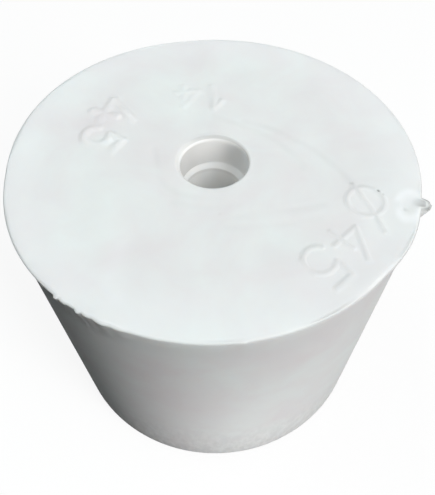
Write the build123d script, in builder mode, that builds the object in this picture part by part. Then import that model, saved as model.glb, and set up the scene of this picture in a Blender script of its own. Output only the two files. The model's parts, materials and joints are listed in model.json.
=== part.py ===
from build123d import *
import os
from math import cos, radians, sin

# A one-hole rubber stopper: a tapered plug moulded in one piece, standing on its small end.
# The origin is on the bore's axis at the small end, and +Z runs up to the large end.
# Lengths are in millimetres, angles in degrees.

# Plug
large_end_diameter = 51.0
small_end_diameter = 45.0
height = 40.0
large_edge_round = 0.5
small_edge_round = 0.8

# Bore: a tube is pushed in from the large end, through a socket that ends on a low shoulder
bore_diameter = 7.4
socket_diameter = 8.2
socket_depth = 4.2
socket_mouth_round = 0.5
shoulder_drop = 0.8
shoulder_hollow_round = 0.4
shoulder_crown_round = 0.3

# Tab: a torn end of flash that was left standing out of the large end's rim
tab_angle = -16.5
tab_reach = 1.1
tab_root_depth = 0.8
tab_root_width = 2.1
tab_root_thickness = 1.2
tab_tip_width = 1.2
tab_tip_thickness = 0.6
tab_corner_round = 0.2
tab_drop = 0.1

# Sink: the shallow hollow where the rubber shrank on the large end beside the tab
sink_inset = 2.2
sink_diameter = 3.4
sink_depth = 0.15

large_end_radius = large_end_diameter / 2
small_end_radius = small_end_diameter / 2
bore_radius = bore_diameter / 2
socket_radius = socket_diameter / 2
shoulder_top = height - socket_depth
shoulder_foot = shoulder_top - shoulder_drop

# Half of the stopper's section, from the bore out to the tapered wall, with the round at each corner
section_corners = [
    ((bore_radius, 0), 0),
    ((small_end_radius, 0), small_edge_round),
    ((large_end_radius, height), large_edge_round),
    ((socket_radius, height), socket_mouth_round),
    ((socket_radius, shoulder_top), shoulder_hollow_round),
    ((bore_radius, shoulder_foot), shoulder_crown_round),
]

# The tab runs straight out along its own radius, with its top edge just under the large face
tab_middle = height - tab_drop - tab_root_thickness / 2
outward = Vector(cos(radians(tab_angle)), sin(radians(tab_angle)))
along_rim = outward.rotate(Axis.Z, 90)
root_centre = outward * (large_end_radius - tab_root_depth) + Vector(0, 0, tab_middle)
tip_centre = outward * (large_end_radius + tab_reach) + Vector(0, 0, tab_middle)
root_plane = Plane(root_centre, x_dir=along_rim, z_dir=outward)
tip_plane = Plane(tip_centre, x_dir=along_rim, z_dir=outward)

# The sink is the cap of a large ball that dips into the large face
sink_ball_radius = (sink_diameter**2 / 4 + sink_depth**2) / (2 * sink_depth)
sink_height = height - sink_depth + sink_ball_radius
sink_centre = outward * (large_end_radius - sink_inset) + Vector(0, 0, sink_height)

with BuildPart() as stopper:
    with BuildSketch(Plane.XZ):
        with BuildLine():
            FilletPolyline(
                *[corner for corner, _ in section_corners],
                radius=[edge_round for _, edge_round in section_corners],
                close=True,
            )
        make_face()
    revolve(axis=Axis.Z)

    with BuildSketch(root_plane):
        RectangleRounded(tab_root_width, tab_root_thickness, tab_corner_round)
    with BuildSketch(tip_plane):
        RectangleRounded(tab_tip_width, tab_tip_thickness, tab_corner_round)
    loft()

    with Locations(sink_centre):
        Sphere(sink_ball_radius, mode=Mode.SUBTRACT)

stopper.part.label = "stopper"

os.makedirs("parts", exist_ok=True)
export_step(stopper.part, "parts/stopper.step")
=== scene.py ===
# %% [markdown]
# # A white rubber stopper
#
# The object is a tapered plug with a stepped hole, moulded in one go from white rubber. It
# stands on its small end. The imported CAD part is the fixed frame: it gives the size and the
# place of everything, and this lesson makes the surface that the eye sees.

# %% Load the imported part
import json
import bpy
import numpy as np
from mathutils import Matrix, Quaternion, Vector


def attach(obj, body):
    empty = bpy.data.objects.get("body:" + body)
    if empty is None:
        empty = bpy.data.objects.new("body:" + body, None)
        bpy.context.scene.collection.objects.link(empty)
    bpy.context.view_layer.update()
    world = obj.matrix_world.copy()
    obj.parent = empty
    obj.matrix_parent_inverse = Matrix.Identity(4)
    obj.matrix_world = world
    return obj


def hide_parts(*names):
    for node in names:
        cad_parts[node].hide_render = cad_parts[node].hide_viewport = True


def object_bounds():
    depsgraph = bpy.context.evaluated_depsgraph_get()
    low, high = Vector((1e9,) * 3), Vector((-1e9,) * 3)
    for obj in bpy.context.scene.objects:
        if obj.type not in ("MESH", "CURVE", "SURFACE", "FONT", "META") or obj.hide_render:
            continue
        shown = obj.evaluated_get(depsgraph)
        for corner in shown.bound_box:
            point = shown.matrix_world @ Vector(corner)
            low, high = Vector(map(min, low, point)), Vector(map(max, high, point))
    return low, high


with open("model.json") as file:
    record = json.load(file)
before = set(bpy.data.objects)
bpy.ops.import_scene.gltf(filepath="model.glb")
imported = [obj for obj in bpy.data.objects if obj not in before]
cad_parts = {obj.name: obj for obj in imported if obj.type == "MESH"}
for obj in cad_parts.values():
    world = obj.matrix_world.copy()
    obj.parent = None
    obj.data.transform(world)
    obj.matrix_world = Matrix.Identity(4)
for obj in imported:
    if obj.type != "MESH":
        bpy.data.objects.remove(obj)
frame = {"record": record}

MM = 0.001
cad_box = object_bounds()
height = cad_box[1].z / MM


def sides_mm(box):
    """The three sides of a box, in millimetres."""
    return [round(side / MM, 2) for side in box[1] - box[0]]


print(f"CAD box: {sides_mm(cad_box)} mm, height {height:.2f} mm")

# %% [markdown]
# ## The section
#
# A moulded plug is round, so half of its section, turned about the axis, gives the whole body.
# A Screw modifier could turn it, but the large face needs close rings and spokes where its
# moulded marks are, so the rings are listed here and turned further down. The bore and
# the socket come from the imported record, and the other sizes repeat the part's own. Two edges
# differ: the bore's lower one is just broken, and the rim's is crisp and a little worn.

# %% Sizes of the section, in millimetres
mounts = {mount["name"]: mount["dims"] for mount in frame["record"]["mounts"]}
bore_radius = mounts["tube_bore"]["r_mm"]
socket_radius = mounts["mouth_socket"]["r_mm"]
large_end_radius = 25.5
small_end_radius = 22.5
socket_depth = 4.2
shoulder_drop = 0.8
shoulder_top = height - socket_depth
shoulder_foot = shoulder_top - shoulder_drop
rim_worn = 0.12
rim_radius = large_end_radius - rim_worn
across = {"bore": bore_radius, "socket": socket_radius, "rim": rim_radius}
print("millimetres across:", {name: round(2 * half, 2) for name, half in across.items()})

# %% Corners of the section: each one's place, its round and the steps in that round
bore_edge_round = 0.1
foot_round = 0.8
rim_round = 0.25
mouth_round = 0.5
shoulder_hollow_round = 0.4
shoulder_crown_round = 0.3
corners = [
    ((bore_radius, 0.0), bore_edge_round, 2),
    ((small_end_radius, 0.0), foot_round, 5),
    ((rim_radius, height), rim_round, 8),
    ((socket_radius, height), mouth_round, 7),
    ((socket_radius, shoulder_top), shoulder_hollow_round, 5),
    ((bore_radius, shoulder_foot), shoulder_crown_round, 5),
]
print(f"{len(corners)} corners")


# %% Turn each corner into an arc
def corner_arc(before, corner, after, radius, steps):
    """Points of the round that turns one corner of the section."""
    to_before = (before - corner) / np.linalg.norm(before - corner)
    to_after = (after - corner) / np.linalg.norm(after - corner)
    half_angle = np.arccos(to_before @ to_after) / 2
    middle = (to_before + to_after) / np.linalg.norm(to_before + to_after)
    centre = corner + middle * radius / np.sin(half_angle)
    start = corner + to_before * radius / np.tan(half_angle) - centre
    end = corner + to_after * radius / np.tan(half_angle) - centre
    sweep = np.pi - 2 * half_angle
    turns = np.linspace(0, sweep, steps + 1)
    return [centre + (np.sin(sweep - t) * start + np.sin(t) * end) / np.sin(sweep) for t in turns]


points = [np.array(point) for point, _, _ in corners]
arcs = [
    corner_arc(points[i - 1], points[i], points[(i + 1) % len(points)], radius, steps)
    for i, (_, radius, steps) in enumerate(corners)
]
print(f"{sum(len(arc) for arc in arcs)} points on the rounds")

# %% Divide the straight runs, finely where the detail is
NEAR = 0.001
# On the face: up to this radius, rings this far apart
FACE_STEPS = [(5.6, 0.11), (10.0, 0.24), (22.8, 0.135), (large_end_radius, 0.3)]
# On the wall and in the bore, from the top down
RIM_BAND, RIM_STEP, WALL_STEP = 1.8, 0.16, 2.5
SOCKET_STEP, SHOULDER_STEP, BORE_STEP = 0.9, 0.3, 5.0
SHOULDER_MARGIN = 1


def ring_step(radius, level):
    """How far the next ring lies from a ring at this radius and level."""
    if level > height - NEAR:
        return next(step for edge, step in FACE_STEPS if radius < edge)
    if radius > socket_radius + NEAR:
        return RIM_STEP if level > height - RIM_BAND else WALL_STEP
    if level > shoulder_top:
        return SOCKET_STEP
    return SHOULDER_STEP if level > shoulder_foot - SHOULDER_MARGIN else BORE_STEP


def divide(start, end):
    """Points between two ends of a straight run, each a ring step from the one before."""
    length = np.linalg.norm(end - start)
    direction = (end - start) / length
    places = [0.0]
    while places[-1] < length:
        places.append(places[-1] + ring_step(*(start + direction * places[-1])))
    places = np.array(places[:-1]) * length / places[-1]
    return [start + direction * place for place in places[1:]]


rings = []
for i, arc in enumerate(arcs):
    rings += arc
    rings += divide(arc[-1], arcs[(i + 1) % len(arcs)][0])
rings = np.array(rings)
print(f"{len(rings)} rings round the section")

# %% [markdown]
# ## Turning the section
#
# The section goes once round the axis, a copy on each spoke. Even spokes, fine enough for the
# marks, would be far too many, so they stand close where the marks, the torn tab and the ragged
# rim are, and wide apart elsewhere. Rings and spokes both close on themselves, so the body is
# one closed skin of quads with no seam, which keeps the shading smooth and the mesh clean.

# %% Spokes: from one angle to another, in degrees, and the step between
SPOKE_ZONES = [
    (-134, -114, 0.5),
    (-114, -78, 1.2),
    (-58, -8, 0.36),
    (-8, 84, 1.4),
    (84, 116, 0.62),
    (128, 172, 0.55),
]
WIDE_SPOKE = 1.7

angles = [-180.0]
while angles[-1] < 180:
    fine_steps = [step for low, high, step in SPOKE_ZONES if low <= angles[-1] < high]
    angles.append(angles[-1] + min([WIDE_SPOKE, *fine_steps]))
angles = np.radians(np.array(angles[:-1]) * 360 / (angles[-1] + 180))
print(f"{len(angles)} spokes, {2 * len(angles) * len(rings)} triangles")

# %% Turn the section into a grid of points
radius = np.repeat(rings[:, :1], len(angles), axis=1)
level = np.repeat(rings[:, 1:], len(angles), axis=1)
spoke = np.repeat(angles[None, :], len(rings), axis=0)
bearing = np.degrees(spoke)
below_face = height - level
print(f"{radius.size} points in the grid")

# %% Points of the large face, each with its relief in millimetres and its dust and painted shade
on_face = (level > height - NEAR) & (radius > socket_radius)
face_x = (radius * np.cos(spoke))[on_face]
face_y = (radius * np.sin(spoke))[on_face]
face_radius = np.hypot(face_x, face_y)
face_bearing = np.degrees(np.arctan2(face_y, face_x))
relief = np.zeros(face_x.shape)
face_dust_and_shade = np.zeros(face_x.shape)
print(f"{on_face.sum()} points on the large face")

# %% [markdown]
# ## Marks in the large face
#
# Moulded numbers are strokes of an even width. A text object would bring a printer's letter
# shapes, so each sign is drawn here as a few lines and arcs, on a cap height of one, and each
# point of the face then asks how far the nearest stroke is. The numbers are plain ones: the
# diameter of the stopper's own small end, and a place in the mould.

# %% Signs as strokes, on a cap height of one
BOW_POINTS = 25


def bow(centre, size, start, end):
    """A round stroke from one angle to another, in degrees."""
    turns = np.radians(np.linspace(start, end, BOW_POINTS))
    return [(centre[0] + size * np.cos(t), centre[1] + size * np.sin(t)) for t in turns]


SIGNS = {
    "diameter": [
        bow((0, 0.03), 0.41, 0, 360),
        [(-0.2, -0.47), (0.12, 0.32)],
        [(0.18, 0.44), (0.38, 0.83)],
    ],
    "1": [[(-0.2, 0.7), (0.04, 1.0), (0.04, 0.0)]],
    "4": [[(0.14, 1.0), (-0.34, 0.3), (0.36, 0.3)], [(0.14, 0.62), (0.14, 0.0)]],
    "5": [[(0.3, 1.0), (-0.2, 1.0), (-0.24, 0.7)], bow((0, 0.33), 0.34, 130, -150)],
}
print("signs:", ", ".join(SIGNS))


# %% Lay strokes on the face and measure the distance to them
def segments_of(path):
    """The straight pieces between the points of a path."""
    path = np.array(path)
    return np.stack([path[:-1], path[1:]], axis=1)


def sign_strokes(sign, foot, up, cap):
    """Segments of a sign: its foot in millimetres, the way it stands in degrees, its height."""
    stand = np.array((np.cos(np.radians(up)), np.sin(np.radians(up))))
    across = np.array((stand[1], -stand[0]))
    laid = []
    for line in SIGNS[sign]:
        laid.append(segments_of([np.array(foot) + cap * (x * across + y * stand) for x, y in line]))
    return np.concatenate(laid)


def distance_to(segments):
    """Distance from each point of the face to the nearest segment, in millimetres."""
    nearest = np.full(face_x.shape, np.inf)
    for (ax, ay), (bx, by) in segments:
        run, climb = bx - ax, by - ay
        along = ((face_x - ax) * run + (face_y - ay) * climb) / (run**2 + climb**2)
        along = np.clip(along, 0, 1)
        away = np.hypot(face_x - ax - along * run, face_y - ay - along * climb)
        nearest = np.minimum(nearest, away)
    return nearest


def fade(distance, inner, outer):
    """One within the inner distance, zero past the outer one, smooth between."""
    t = np.clip((outer - distance) / (outer - inner), 0, 1)
    return t * t * (3 - 2 * t)


print({sign: sum(len(line) - 1 for line in lines) for sign, lines in SIGNS.items()}, "segments")

# %% Wear: how much of each mark is left, place by place
chance = np.random.default_rng(5)


def ripple(waves, shortest, longest):
    """A smooth random field over the face, from about -1 to 1, made of waves of these lengths."""
    field = np.zeros(face_x.shape)
    for _ in range(waves):
        turn, start = chance.uniform(0, 2 * np.pi, 2)
        wave = chance.uniform(shortest, longest)
        field += np.sin(2 * np.pi * (face_x * np.cos(turn) + face_y * np.sin(turn)) / wave + start)
    return field / np.sqrt(waves)


LEFT_MEAN, LEFT_SPREAD, LEFT_LEAST = 0.7, 0.45, 0.25
left = np.clip(LEFT_MEAN + LEFT_SPREAD * ripple(10, 4, 9), LEFT_LEAST, 1)
print(f"marks worn to {left.min():.2f} of their height at most")

# %% Thin raised diameter mark, darkened by grime and painted shade: each sign and its foot
DIAMETER_MARK = [("diameter", (17.8, -6.7)), ("4", (13.75, -10.75)), ("5", (10.4, -13.95))]
MARK_UP, MARK_CAP = -46, 5.4
MARK_RISE, MARK_STROKE = 0.1, (0.05, 0.5)
MARK_GRIME_AND_SHADE, MARK_DARK_STROKE = 0.08, (0.06, 0.38)

strokes = [sign_strokes(sign, foot, MARK_UP, MARK_CAP) for sign, foot in DIAMETER_MARK]
nearest = distance_to(np.concatenate(strokes))
relief += MARK_RISE * fade(nearest, *MARK_STROKE)
# The dark line along the strokes is partly grime, partly painted shade.
face_dust_and_shade += (MARK_GRIME_AND_SHADE + MARK_GRIME_AND_SHADE * left) * fade(nearest, *MARK_DARK_STROKE)
print(f"diameter mark stands {relief.max():.2f} mm high")

# %% Raised numbers: sign, foot, way up, height, half the stroke's width and its rise
RAISED = [
    ("4", (-15.6, 10.4), -20, 5.8, 0.5, 0.26),
    ("5", (-16.1, 5.6), -32, 4.8, 0.48, 0.22),
    ("1", (0.2, 14.4), -86, 4.4, 0.42, 0.16),
    ("4", (-3.4, 14.6), -86, 4.2, 0.42, 0.12),
]
SOFT_EDGE = 0.4
for sign, foot, up, cap, half_width, rise in RAISED:
    nearest = distance_to(sign_strokes(sign, foot, up, cap))
    relief += rise * left * fade(nearest, half_width - SOFT_EDGE, half_width + SOFT_EDGE)
print(f"raised numbers stand {relief.max():.2f} mm high")

# %% [markdown]
# ## Flow lines and unevenness
#
# Rubber creeps into the mould in tongues, and where two tongues meet they leave a faint line.
# These lines curl round the hole. Each is a smooth curve through a few points of the face. A
# bump in the material could draw them too, but then the exported mesh would lose them. The face
# also swells a little, with a burr at the hole's mouth and a few pits.

# %% Flow lines: the points that each one goes through, and its depth
FLOW_LINES = [
    ([(16.5, -3.7), (14.8, -0.8), (12.3, 2.2), (9.9, 4.1), (7.5, 5.9), (4.3, 7.3)], 0.08),
    ([(11.1, -1.3), (10.7, 0.2), (8.2, 3.3), (5.8, 5.2), (2.8, 7.0), (0.2, 8.3)], 0.06),
    ([(-7.2, 2.4), (-6.7, -1.0), (-5.9, -3.4), (-4.7, -4.7), (-3.0, -5.5), (1.0, -6.1)], 0.06),
    ([(-4.6, -6.6), (-1.2, -7.3), (3.2, -7.1)], 0.04),
    ([(3.0, -8.8), (8.0, -8.2), (12.8, -7.2)], 0.04),
    ([(1.6, -10.6), (7.4, -10.2), (12.4, -9.4)], 0.03),
]
BEND_STEPS = 8
FLOW_HALF_WIDTH, FLOW_DUST_AND_SHADE, FLOW_DARK_HALF_WIDTH = 1.0, 0.9, 0.8


def smooth_line(knots):
    """Short segments of a smooth curve through the knots."""
    knots = np.array([knots[0], *knots, knots[-1]])
    t = np.linspace(0, 1, BEND_STEPS, endpoint=False)[:, None]
    bends = []
    for a, b, c, d in zip(knots, knots[1:], knots[2:], knots[3:]):
        square = 2 * a - 5 * b + 4 * c - d
        cube = 3 * b - a - 3 * c + d
        bends.append(0.5 * (2 * b + (c - a) * t + square * t**2 + cube * t**3))
    return segments_of(np.concatenate(bends + [knots[-1:]]))


for knots, depth in FLOW_LINES:
    nearest = distance_to(smooth_line(knots))
    relief -= depth * left * fade(nearest, 0.0, FLOW_HALF_WIDTH)
    # Darker along each line: partly dust, partly painted shade in the shallow groove.
    face_dust_and_shade += FLOW_DUST_AND_SHADE * depth * left * fade(nearest, 0.0, FLOW_DARK_HALF_WIDTH)
print(f"{len(FLOW_LINES)} flow lines")

# %% Swell of the face
SWELL = 0.04
swell = SWELL * ripple(14, 4, 16)
relief += swell
print(f"swell of {swell.max() - swell.min():.2f} mm")

# %% Burr at the hole's mouth, on its far and right side only, with painted shade outside it
BURR_MIDDLE, BURR_HALF, BURR_END = 35, 75, 110
BURR_RISE, BURR_RADIUS, BURR_WIDTH = 0.06, 4.72, 0.22
BURR_SHADE, BURR_SHADE_EDGE = 0.35, (4.62, 4.8)


def apart(angle, middle):
    """Degrees between two bearings, the short way round."""
    return np.abs(np.mod(angle - middle + 180, 360) - 180)


burr = fade(apart(face_bearing, BURR_MIDDLE), BURR_HALF, BURR_END)
relief += BURR_RISE * burr * np.exp(-(((face_radius - BURR_RADIUS) / BURR_WIDTH) ** 2))
# A dark line just outside the burr is painted shade, where its outer flank turns from the light.
face_dust_and_shade += BURR_SHADE * burr * fade(face_radius, *BURR_SHADE_EDGE)
print(f"face relief from {relief.min():.2f} to {relief.max():.2f} mm")

# %% Pits: place, size, depth and dust
PITS = [
    ((19.63, -5.2), 0.22, 0.15, 0.9),
    ((20.1, -5.8), 0.2, 0.08, 0.25),
    ((22.25, -8.08), 0.3, 0.08, 0.2),
    ((0.84, -8.4), 0.2, 0.04, 0.1),
]
PIT_FLOOR, PIT_EDGE = 0.2, 1.3
for (x, y), size, depth, dirt in PITS:
    pit = fade(np.hypot(face_x - x, face_y - y), PIT_FLOOR * size, PIT_EDGE * size)
    relief -= depth * pit
    face_dust_and_shade += dirt * pit
print(f"{len(PITS)} pits")

# %% [markdown]
# ## The rim
#
# Where the mould closed, a film of rubber crept out. It was trimmed, and left a ragged stretch
# on the near left of the rim, a wide thin flange on the far left and one torn tab on the right.
# They could be pieces of their own, but the real ones are part of the moulding, so they are
# pushed out of the rim's own points. Beside the tab the face sank a little, and the strain
# there turned the rubber whiter. The edge's round is painted darker, as painted shade that
# dims its highlight.

# %% Torn tab: a blotchy nub, pushed out of the rim
TAB_ANGLE = np.radians(-16.5)
TAB_REACH = 1.15
TAB_HALF_WIDTH = 0.95
TAB_DROP = 0.3
TAB_HALF_THICKNESS = 0.36
TAB_SQUARENESS, TAB_BLUNTNESS = 2.5, 0.4
COARSE_TEAR, FINE_TEAR = 0.05, 0.03
TAB_GRIME_AND_SHADE, TAB_BLOTCH = 0.28, 0.22
RIM_INSET = 0.7


def turn_from(angle):
    """Signed distance along the rim from an angle, in millimetres."""
    return large_end_radius * (np.mod(spoke - angle + np.pi, 2 * np.pi) - np.pi)


across_tab = turn_from(TAB_ANGLE) / TAB_HALF_WIDTH
above_tab = (TAB_DROP - below_face) / TAB_HALF_THICKNESS
outer = radius > large_end_radius - RIM_INSET
nub = np.clip(1 - np.abs(across_tab) ** TAB_SQUARENESS - above_tab**2, 0, None) ** TAB_BLUNTNESS
tab = np.where(outer, nub, 0)
coarse_tear = COARSE_TEAR * np.sin(7 * across_tab + 5 * above_tab)
fine_tear = FINE_TEAR * np.sin(13 * across_tab - 7 * above_tab)
pushed = TAB_REACH * tab * (1 + coarse_tear + fine_tear)
# The nub is painted grey in blotches: partly grime, partly painted shade on its rounded sides.
blotches = TAB_GRIME_AND_SHADE + TAB_BLOTCH * np.sin(5 * across_tab + 1) * np.cos(4 * above_tab + 1)
dust_and_shade = np.clip(2 * tab, 0, 1) * blotches
print(f"tab reaches {pushed.max():.2f} mm")

# %% Sink beside the tab
SINK_INSET, SINK_SHIFT, SINK_DEPTH = 1.5, 0.8, 0.12
SINK_HALF_WIDTH, SINK_HALF_LENGTH = 2.0, 1.3
sink_across = -face_x * np.sin(TAB_ANGLE) + face_y * np.cos(TAB_ANGLE)
sink_outward = face_x * np.cos(TAB_ANGLE) + face_y * np.sin(TAB_ANGLE)
sink_inward = large_end_radius - SINK_INSET - sink_outward
from_sink = np.hypot((sink_across + SINK_SHIFT) / SINK_HALF_WIDTH, sink_inward / SINK_HALF_LENGTH)
hollow = fade(from_sink, 0, 1)
relief -= SINK_DEPTH * hollow
print(f"sink {SINK_DEPTH * hollow.max():.2f} mm deep")

# %% Whitened rubber: a broken ring round the sink, a pale border and a smear on the near left
RING_WHITE, RIM_BORDER_LIGHTER, SMEAR_WHITE = 0.65, 0.25, 0.16
RING_BREAK, BREAK_SHIFT = 0.5, 0.9
SMEAR = [(-10.0, -10.8), (-10.3, -14.0), (-10.4, -17.0), (-10.2, -19.6)]
smudged = np.clip(0.75 + 0.5 * ripple(10, 1.5, 4), 0.2, 1)
ring = fade(np.abs(from_sink - 1), 0.05, 0.6)
broken = 1 - RING_BREAK * fade(np.abs(sink_across + BREAK_SHIFT), 0, 0.9)
face_white = RING_WHITE * smudged * ring * broken
from_rim = large_end_radius - face_radius
# Lighter towards the rim, within nine millimetres of it.
face_white += RIM_BORDER_LIGHTER * fade(from_rim, 1, 9)
face_white += SMEAR_WHITE * left * fade(distance_to(smooth_line(SMEAR)), 0.0, 2.0)
print(f"rubber whitened by up to {face_white.max():.2f}")

# %% Painted shade at the tab's root, dust in a smudge behind it and along the near right border
ROOT_SHADE, SMUDGE_DUST, BORDER_DUST = 0.3, 0.04, 0.05
ROOT_SHIFT, SMUDGE_X, SMUDGE_Y, BORDER_MIDDLE = 1.2, 19.5, -1.0, -40
from_root = np.hypot(sink_across, sink_inward + ROOT_SHIFT)
from_smudge = np.hypot(face_x - SMUDGE_X, face_y - SMUDGE_Y)
border = fade(from_rim, 1, 5) * fade(apart(face_bearing, BORDER_MIDDLE), 15, 40)
# The face is painted darker round the tab's root, as painted shade where the nub meets it.
face_dust_and_shade += ROOT_SHADE * fade(from_root, 0.3, 1.1)
face_dust_and_shade += SMUDGE_DUST * left * fade(from_smudge, 1, 5)
face_dust_and_shade += BORDER_DUST * border
print(f"dust on the face up to {face_dust_and_shade.max():.2f}")

# %% Ragged flash and flange: angle in degrees, reach and half width in millimetres
FLASH = [
    (-130.1, 0.28, 0.4),
    (-127.9, 0.12, 0.7),
    (-123.2, 0.25, 0.45),
    (-120.6, 0.12, 0.7),
    (-116.7, 0.2, 1.2),
    (-112.3, 0.12, 1.3),
    (-82.7, 0.12, 0.7),
    (-29, 0.3, 6.5),
    (140, 0.75, 20.0),
    (-142, 0.22, 14.0),
]
FLASH_DROP, FLASH_HALF_THICKNESS = 0.15, 0.4


def dome(t):
    """A rounded hump, one in the middle and zero past either end."""
    return np.clip(1 - t**2, 0, None) ** 1.5


at_rim = np.where(outer, dome((FLASH_DROP - below_face) / FLASH_HALF_THICKNESS), 0)
for angle, reach, half_width in FLASH:
    pushed += reach * dome(turn_from(np.radians(angle)) / half_width) * at_rim
print(f"{len(FLASH)} ragged ends on the rim")

# %% Wall drawn in under the rim and full at the foot
DRAWN_IN, FULL_FOOT = 0.18, 0.2
FOOT_INSET, UNDER_RIM = 0.74, (0.35, 1.0)
on_outside = (radius > small_end_radius - FOOT_INSET) & ~on_face
drawn = (DRAWN_IN + FULL_FOOT) * below_face / height - DRAWN_IN
pushed += np.where(on_outside, drawn * (1 - fade(below_face, *UNDER_RIM)), 0)
print(f"wall moved by {pushed[on_outside].min():.2f} mm under the rim")

# %% Painted shade on the rim: bearing, half its full stretch, half its whole stretch, amount
RIM_PAINTED_SHADE = [(-25, 35, 85, 0.17), (-12, 25, 45, 0.15), (58, 12, 25, 0.15), (135, 25, 40, 0.15)]
LEAST_RIM_SHADE, CLEAN_TOP = 0.08, (0.01, 0.09)
rim_edge = (radius > rim_radius - rim_round) & (level > height - rim_round)
rim_painted_shade = np.full(level.shape, LEAST_RIM_SHADE)
for middle, half, end, amount in RIM_PAINTED_SHADE:
    rim_painted_shade += amount * fade(apart(bearing, middle), half, end)
# The round below its top is painted darker: painted shade that dims its highlight and darkens the
# far edge.
dust_and_shade += np.where(rim_edge, rim_painted_shade * (1 - fade(below_face, *CLEAN_TOP)), 0)
print(f"{rim_edge.sum()} points of the rim")

# %% [markdown]
# ## The bore
#
# Tubes pushed in and out have worn the socket's mouth a little wide, most on the near right, and
# kept the inside bare of bloom; its colour is also lightened, as painted light. Painted shade
# darkens the left of the socket, its lip and the bore below the shoulder. A second material
# inside would end in a hard line at the lip, so the points inside are marked instead, and one
# material is clean there and chalky elsewhere.

# %% Worn mouth: the socket's wall pushed out, and more to one side
MOUTH_WORN, MOUTH_LEAN, LEAN_ANGLE = 0.12, 0.25, np.radians(-40)
mouth_edge = socket_radius + mouth_round
inside = (radius < mouth_edge) & ~on_face & (level > NEAR)
worn = MOUTH_WORN + MOUTH_LEAN * np.cos(spoke - LEAN_ANGLE)
share = np.interp(radius, [bore_radius, socket_radius, mouth_edge], [0, 1, 0])
pushed += np.where(inside & (level > shoulder_foot), share * worn, 0)
print(f"{inside.sum()} points inside the bore, mouth worn by up to {worn.max():.2f} mm")

# %% Painted shade in the socket, on its lip and below the shoulder's crown
SOCKET_LEFT, SOCKET_WALL_SHADE, LEFT_WALL_SHADE, CLEAN_FOOT = 165, 0.1, 0.3, 0.09
LIP_SHADE, LIP_EDGE_SHADE, BURR_EDGE_SHADE = 0.14, 0.18, 0.25
BORE_SHADE, CROWN_SHADOW, CROWN_BAND = 0.07, 0.13, 0.6
from_left = apart(bearing, SOCKET_LEFT)
on_wall = inside & (below_face > mouth_round - NEAR) & (level > shoulder_top + CLEAN_FOOT)
# The socket's left wall, which faces the window, is painted darker: painted shade.
socket_wall_shade = SOCKET_WALL_SHADE * fade(from_left, 70, 110) + LEFT_WALL_SHADE * fade(from_left, 25, 90)
dust_and_shade += np.where(on_wall, socket_wall_shade, 0)
on_lip = inside & (below_face < mouth_round - NEAR)
# The lip is painted darker, most at its outer edge on the far right: painted shade that dims its
# highlight.
lip_edge_shade = LIP_EDGE_SHADE + BURR_EDGE_SHADE * fade(apart(bearing, BURR_MIDDLE), 60, 120)
dust_and_shade += np.where(on_lip, LIP_SHADE + lip_edge_shade * fade(below_face, 0.1, 0.2), 0)
below_crown = shoulder_foot - level
# Below the shoulder the bore is painted darker, most in a band under the crown's edge: painted
# shadow.
bore_shade = BORE_SHADE + CROWN_SHADOW * (below_crown < CROWN_BAND)
dust_and_shade += np.where(inside & (below_crown > 0), bore_shade, 0)
print(f"dust inside up to {dust_and_shade[inside].max():.2f}")

# %% [markdown]
# ## The skin
#
# So far the points have only been moved on paper. Now they become one mesh: each point meets the
# next on its ring and on its spoke, so four of them make a quad. The dust and painted shade, the
# whitening and the bare inside go along as attributes of the points, which the material reads.
# Painted maps would need an unwrapped skin, and these need none.

# %% Put every point in its place
rise = np.zeros(level.shape)
rise[on_face] = relief
white = np.zeros(level.shape)
white[on_face] = face_white
dust_and_shade[on_face] += face_dust_and_shade
reach = radius + pushed
grid = np.stack([reach * np.cos(spoke), reach * np.sin(spoke), level + rise], axis=-1) * MM

count = np.arange(radius.size).reshape(radius.shape)
next_ring = np.roll(count, -1, axis=0)
ring_quads = [count, np.roll(count, -1, axis=1), np.roll(next_ring, -1, axis=1), next_ring]
quads = np.stack(ring_quads, axis=-1).reshape(-1, 4)
print(f"{len(quads)} quads")

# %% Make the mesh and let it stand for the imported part
mesh = bpy.data.meshes.new("stopper_skin")
mesh.from_pydata(grid.reshape(-1, 3).tolist(), [], quads.tolist())
mesh.shade_smooth()
carried = {"dust_and_shade": np.clip(dust_and_shade, 0, 1), "whitening": white, "inside": inside.astype(float)}
for name, values in carried.items():
    mesh.attributes.new(name, "FLOAT", "POINT").data.foreach_set("value", values.ravel())
stopper = bpy.data.objects.new("stopper_skin", mesh)
bpy.context.scene.collection.objects.link(stopper)
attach(stopper, "root")
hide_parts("stopper")
print(f"{len(mesh.vertices)} points, {2 * len(mesh.polygons)} triangles")

# %% [markdown]
# ## White rubber
#
# The rubber is a dull, slightly translucent white with a cool cast. Its bloom, a faint film of
# chalk, is cloudy. Dust and painted shade lie along the marks and edges, and painted shade in
# the bore, which is clean, slightly glossy and lightened as painted light. The wall has short
# upright flecks, light and dark, near its foot. A painted picture could hold all this, but it
# would have to be wrapped round the skin. Noise looks right from every side, so it gives the
# clouds and flecks, and the points' own values give the rest.


# %% Helpers for node trees
def node(tree, kind, spot, **inputs):
    """Adds a node and sets its inputs by name."""
    made = tree.nodes.new(kind)
    made.location = spot
    for name, value in inputs.items():
        made.inputs[name.replace("_", " ")].default_value = value
    return made


def attribute(tree, spot, name):
    """A value that the mesh's points carry."""
    made = node(tree, "ShaderNodeAttribute", spot)
    made.attribute_name = name
    return made.outputs["Fac"]


def noise(tree, spot, vector, **inputs):
    """Noise, from zero to one, at the place that a vector gives."""
    made = node(tree, "ShaderNodeTexNoise", spot, **inputs)
    tree.links.new(vector, made.inputs["Vector"])
    return made.outputs["Fac"]


def map_range(tree, spot, value, **inputs):
    """A value carried from one range, zero to one if none is given, to another."""
    made = node(tree, "ShaderNodeMapRange", spot, **inputs)
    tree.links.new(value, made.inputs["Value"])
    return made.outputs["Result"]


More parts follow.
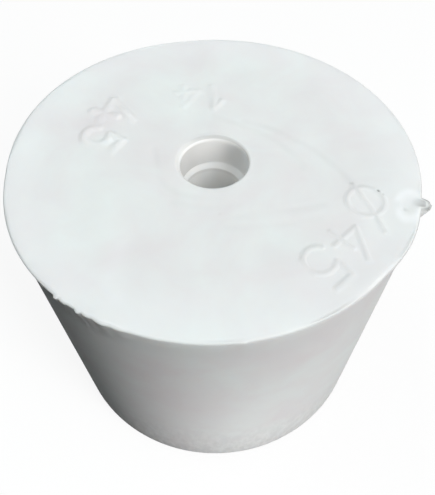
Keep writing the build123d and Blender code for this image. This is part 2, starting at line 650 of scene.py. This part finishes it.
def math(tree, operation, spot, first, second):
    """A Math node of two inputs, each a socket or a number."""
    made = node(tree, "ShaderNodeMath", spot)
    made.operation = operation
    for socket, value in zip(made.inputs, (first, second)):
        if isinstance(value, (int, float)):
            socket.default_value = value
        else:
            tree.links.new(value, socket)
    return made.outputs["Value"]


def mix_colour(tree, spot, factor, first, second):
    """A colour Mix node; either colour is a socket or a plain colour."""
    made = node(tree, "ShaderNodeMix", spot)
    made.data_type = "RGBA"
    tree.links.new(factor, made.inputs["Factor"])
    for name, value in (("A", first), ("B", second)):
        socket = next(s for s in made.inputs if s.name == name and s.type == "RGBA")
        if isinstance(value, tuple):
            socket.default_value = (*value, 1)
        else:
            tree.links.new(value, socket)
    return next(s for s in made.outputs if s.type == "RGBA")


# %% Translucent body
SCATTER_WEIGHT, SCATTER_DEPTH, SCATTER_TINT = 0.8, 1.1 * MM, (1.0, 0.95, 0.9)
rubber = bpy.data.materials.new("white_rubber")
rubber.use_nodes = True
tree = rubber.node_tree
shader = tree.nodes["Principled BSDF"]
shader.inputs["Subsurface Weight"].default_value = SCATTER_WEIGHT
shader.inputs["Subsurface Radius"].default_value = SCATTER_TINT
shader.inputs["Subsurface Scale"].default_value = SCATTER_DEPTH
mesh.materials.append(rubber)
print("material:", rubber.name)

# %% Bloom: clouds from a pinkish to a greenish white, rougher where they are thick
PINKISH, GREENISH = (0.79, 0.764, 0.774, 1), (0.82, 0.854, 0.845, 1)
SMOOTHEST, ROUGHEST = 0.6, 0.78
where = node(tree, "ShaderNodeTexCoord", (-1800, 0)).outputs["Object"]
cloud = noise(tree, (-1500, 300), where, Scale=100.0, Detail=4.0, Roughness=0.55, Distortion=0.4)
bloom = node(tree, "ShaderNodeValToRGB", (-1300, 300))
thin, thick = bloom.color_ramp.elements
thin.position, thin.color = 0.3, PINKISH
thick.position, thick.color = 0.7, GREENISH
tree.links.new(cloud, bloom.inputs["Fac"])
rough = map_range(tree, (-600, -150), cloud, To_Min=SMOOTHEST, To_Max=ROUGHEST)
tree.links.new(rough, shader.inputs["Roughness"])
print(f"bloom between {PINKISH[:3]} and {GREENISH[:3]}")

# %% Bare inside lightened as painted light, whitened rubber, and dust with painted shade
BARE_AND_LIGHTENED, WHITER_TINT, DUST_AND_SHADE_GREY = (0.97, 0.962, 0.95), (0.935, 0.952, 0.972), (0.3, 0.3, 0.295)
DULL, GLOSSY = 0.08, 0.6
bared = attribute(tree, (-1300, 0), "inside")
whitening = attribute(tree, (-1300, 100), "whitening")
dust_and_shade_amount = attribute(tree, (-1300, -100), "dust_and_shade")
# The bare inside's colour is lighter than the rubber's, as painted light that brightens the bore.
skin = mix_colour(tree, (-1100, 250), bared, bloom.outputs["Color"], BARE_AND_LIGHTENED)
whitened = mix_colour(tree, (-900, 250), whitening, skin, WHITER_TINT)
# Darker where the points carry dust and painted shade.
darkened_skin = mix_colour(tree, (-600, 250), dust_and_shade_amount, whitened, DUST_AND_SHADE_GREY)
sheen = map_range(tree, (-600, 0), bared, To_Min=DULL, To_Max=GLOSSY)
tree.links.new(sheen, shader.inputs["Specular IOR Level"])
print("carried by the points:", ", ".join(carried))

# %% Upright flecks near the foot, light and dark
FLECK_TOP, FLECK_FULL, FLECK_SHARE = 13 * MM, 1 * MM, 0.32
FLECK_DARK, FLECK_LIGHT = (0.62, 0.63, 0.625), (0.95, 0.96, 0.955)
STRETCH = (1, 1, 0.45)
upright = node(tree, "ShaderNodeMapping", (-1500, -700), Scale=STRETCH)
tree.links.new(where, upright.inputs["Vector"])
stretched = upright.outputs["Vector"]
fleck = noise(tree, (-1300, -700), stretched, Scale=1150.0, Detail=2.0, Roughness=0.5)
spread = node(tree, "ShaderNodeSeparateXYZ", (-1500, -900))
tree.links.new(where, spread.inputs["Vector"])
above_floor = spread.outputs["Z"]
near_foot = map_range(tree, (-1300, -950), above_floor, From_Min=FLECK_TOP, From_Max=FLECK_FULL)
speck = map_range(tree, (-1000, -1000), fleck, From_Min=0.36, From_Max=0.64)
fleck_colour = mix_colour(tree, (-800, -1000), speck, FLECK_DARK, FLECK_LIGHT)
fleck_share = math(tree, "MULTIPLY", (-1000, -1200), near_foot, FLECK_SHARE)
speckled = mix_colour(tree, (-300, 250), fleck_share, darkened_skin, fleck_colour)
tree.links.new(speckled, shader.inputs["Base Color"])
print(f"flecks up to {FLECK_TOP / MM:.0f} mm above the floor")

# %% Fine grain all over, with the flecks raised in it
FLECK_HEIGHT = 14.0
grain = noise(tree, (-1500, -400), where, Scale=2200.0, Detail=3.0, Roughness=0.6)
flecks = math(tree, "MULTIPLY", (-1000, -800), fleck, near_foot)
fleck_height = math(tree, "MULTIPLY", (-800, -800), flecks, FLECK_HEIGHT)
texture = math(tree, "ADD", (-600, -600), grain, fleck_height)
bump = node(tree, "ShaderNodeBump", (-300, -450), Strength=0.12, Distance=0.05 * MM)
tree.links.new(texture, bump.inputs["Height"])
tree.links.new(bump.outputs["Normal"], shader.inputs["Normal"])
print(f"{len(tree.nodes)} nodes in the rubber")

# %% [markdown]
# ## Floor and room
#
# The stopper stands on a plain white table in a white room. A table of real white would throw
# its light back up at the wall, but on the real stopper the left of the wall falls into deep
# shade. So the table and the room look white to the eye and in gloss, and send only a little
# light back to the rubber. The table keeps the stopper's shadow.

# %% Table top
FLOOR_HALF = 3.0
SQUARE = [(-1, -1), (1, -1), (1, 1), (-1, 1)]
floor_corners = [(x * FLOOR_HALF, y * FLOOR_HALF, 0) for x, y in SQUARE]
floor_mesh = bpy.data.meshes.new("floor")
floor_mesh.from_pydata(floor_corners, [], [(0, 1, 2, 3)])
floor = bpy.data.objects.new("floor", floor_mesh)
bpy.context.scene.collection.objects.link(floor)
print(f"floor {2 * FLOOR_HALF} m wide")

# %% White table: what the eye sees, and what the rubber gets back from it
WHITE = (1.0, 1.0, 1.0)
BOUNCE, SHADOW_SHARE = 0.035, 0.12


def seen_by_eye(tree):
    """One for rays from the camera, in gloss and in glass, zero for rays that only light."""
    rays = node(tree, "ShaderNodeLightPath", (-1200, 0)).outputs
    gloss = math(tree, "MAXIMUM", (-1000, 0), rays["Is Camera Ray"], rays["Is Glossy Ray"])
    return math(tree, "MAXIMUM", (-800, 0), gloss, rays["Is Transmission Ray"])


table = bpy.data.materials.new("white_table")
table.use_nodes = True
tree = table.node_tree
tree.nodes.clear()
seen = seen_by_eye(tree)
tint = mix_colour(tree, (-600, 200), seen, (BOUNCE, BOUNCE, BOUNCE), WHITE)
surface = node(tree, "ShaderNodeBsdfDiffuse", (-400, 100))
tree.links.new(tint, surface.inputs["Color"])
glow = node(tree, "ShaderNodeEmission", (-400, -100), Color=(*WHITE, 1), Strength=1.0)
glow_share = math(tree, "MULTIPLY", (-400, 300), seen, 1 - SHADOW_SHARE)
blend = node(tree, "ShaderNodeMixShader", (-200, 0))
tree.links.new(glow_share, blend.inputs["Fac"])
tree.links.new(surface.outputs["BSDF"], blend.inputs[1])
tree.links.new(glow.outputs["Emission"], blend.inputs[2])
out = node(tree, "ShaderNodeOutputMaterial", (0, 0))
tree.links.new(blend.outputs["Shader"], out.inputs["Surface"])
floor_mesh.materials.append(table)
print("floor:", table.name)

# %% Room
ROOM_LIGHT = 0.004
world = bpy.data.worlds.new("room")
world.use_nodes = True
bpy.context.scene.world = world
tree = world.node_tree
background = tree.nodes["Background"]
background.inputs["Color"].default_value = (*WHITE, 1)
strength = map_range(tree, (-400, 0), seen_by_eye(tree), To_Min=ROOM_LIGHT, To_Max=1.0)
tree.links.new(strength, background.inputs["Strength"])
print(f"room lights the rubber at {ROOM_LIGHT}")

# %% [markdown]
# ## Light and camera
#
# A tall window on the right lights the face and the right of the wall. The sky behind on the left
# and the ceiling fill the rest, a small card near the foot lifts the shade there, and a far wall
# keeps the hidden back from going black. Point lamps would draw hard shadows, so area lamps
# stand for all of them. The camera was fitted to the outline of the real stopper.

# %% Lamps: bearing and lift in degrees, distance, width and height in metres, watts, colour
WARM, COOL = (1.0, 1.0, 0.995), (0.92, 1.0, 1.0)
LAMPS = [
    ("window", -45, 39, 0.8, 0.25, 0.9, 6.7, WARM),
    ("skylight", 150, 56, 0.6, 0.4, 0.4, 1.15, COOL),
    ("ceiling", -60, 84, 0.6, 0.4, 0.4, 0.88, COOL),
    ("card", -83, -36, 0.062, 0.012, 0.012, 0.0026, WARM),
    ("far_wall", 95, -1.5, 0.8, 0.3, 0.03, 1.8, COOL),
]
for name, azimuth, elevation, distance, lamp_width, lamp_height, watts, colour in LAMPS:
    lamp_data = bpy.data.lights.new(name, "AREA")
    lamp_data.shape = "RECTANGLE"
    lamp_data.size = lamp_width
    lamp_data.size_y = lamp_height
    lamp_data.energy = watts
    lamp_data.color = colour
    lamp = bpy.data.objects.new(name, lamp_data)
    turn, lift = np.radians(azimuth), np.radians(elevation)
    way = Vector((np.cos(lift) * np.cos(turn), np.cos(lift) * np.sin(turn), np.sin(lift)))
    lamp.location = way * distance + Vector((0, 0, height * MM))
    lamp.rotation_mode = "QUATERNION"
    lamp.rotation_quaternion = way.to_track_quat("Z", "Y")
    bpy.context.scene.collection.objects.link(lamp)
print(f"{len(LAMPS)} lamps")

# %% Camera: the eye and what it aims at in millimetres, and a slight roll
eye = Vector((0.76, -54.67, 94.51)) * MM
aim = Vector((0.48, 0.0, 22.37)) * MM
ROLL = np.radians(-0.8)
LENS_MM, NEAREST = 45.05, 0.001
camera_data = bpy.data.cameras.new("camera")
camera_data.lens = LENS_MM
camera_data.clip_start = NEAREST
camera = bpy.data.objects.new("camera", camera_data)
camera.location = eye
camera.rotation_mode = "QUATERNION"
camera.rotation_quaternion = (aim - eye).to_track_quat("-Z", "Y") @ Quaternion((0, 0, 1), ROLL)
bpy.context.scene.collection.objects.link(camera)
bpy.context.scene.camera = camera
bpy.context.scene.view_settings.view_transform = "Standard"
print("camera at", [round(value / MM, 1) for value in eye], "mm")
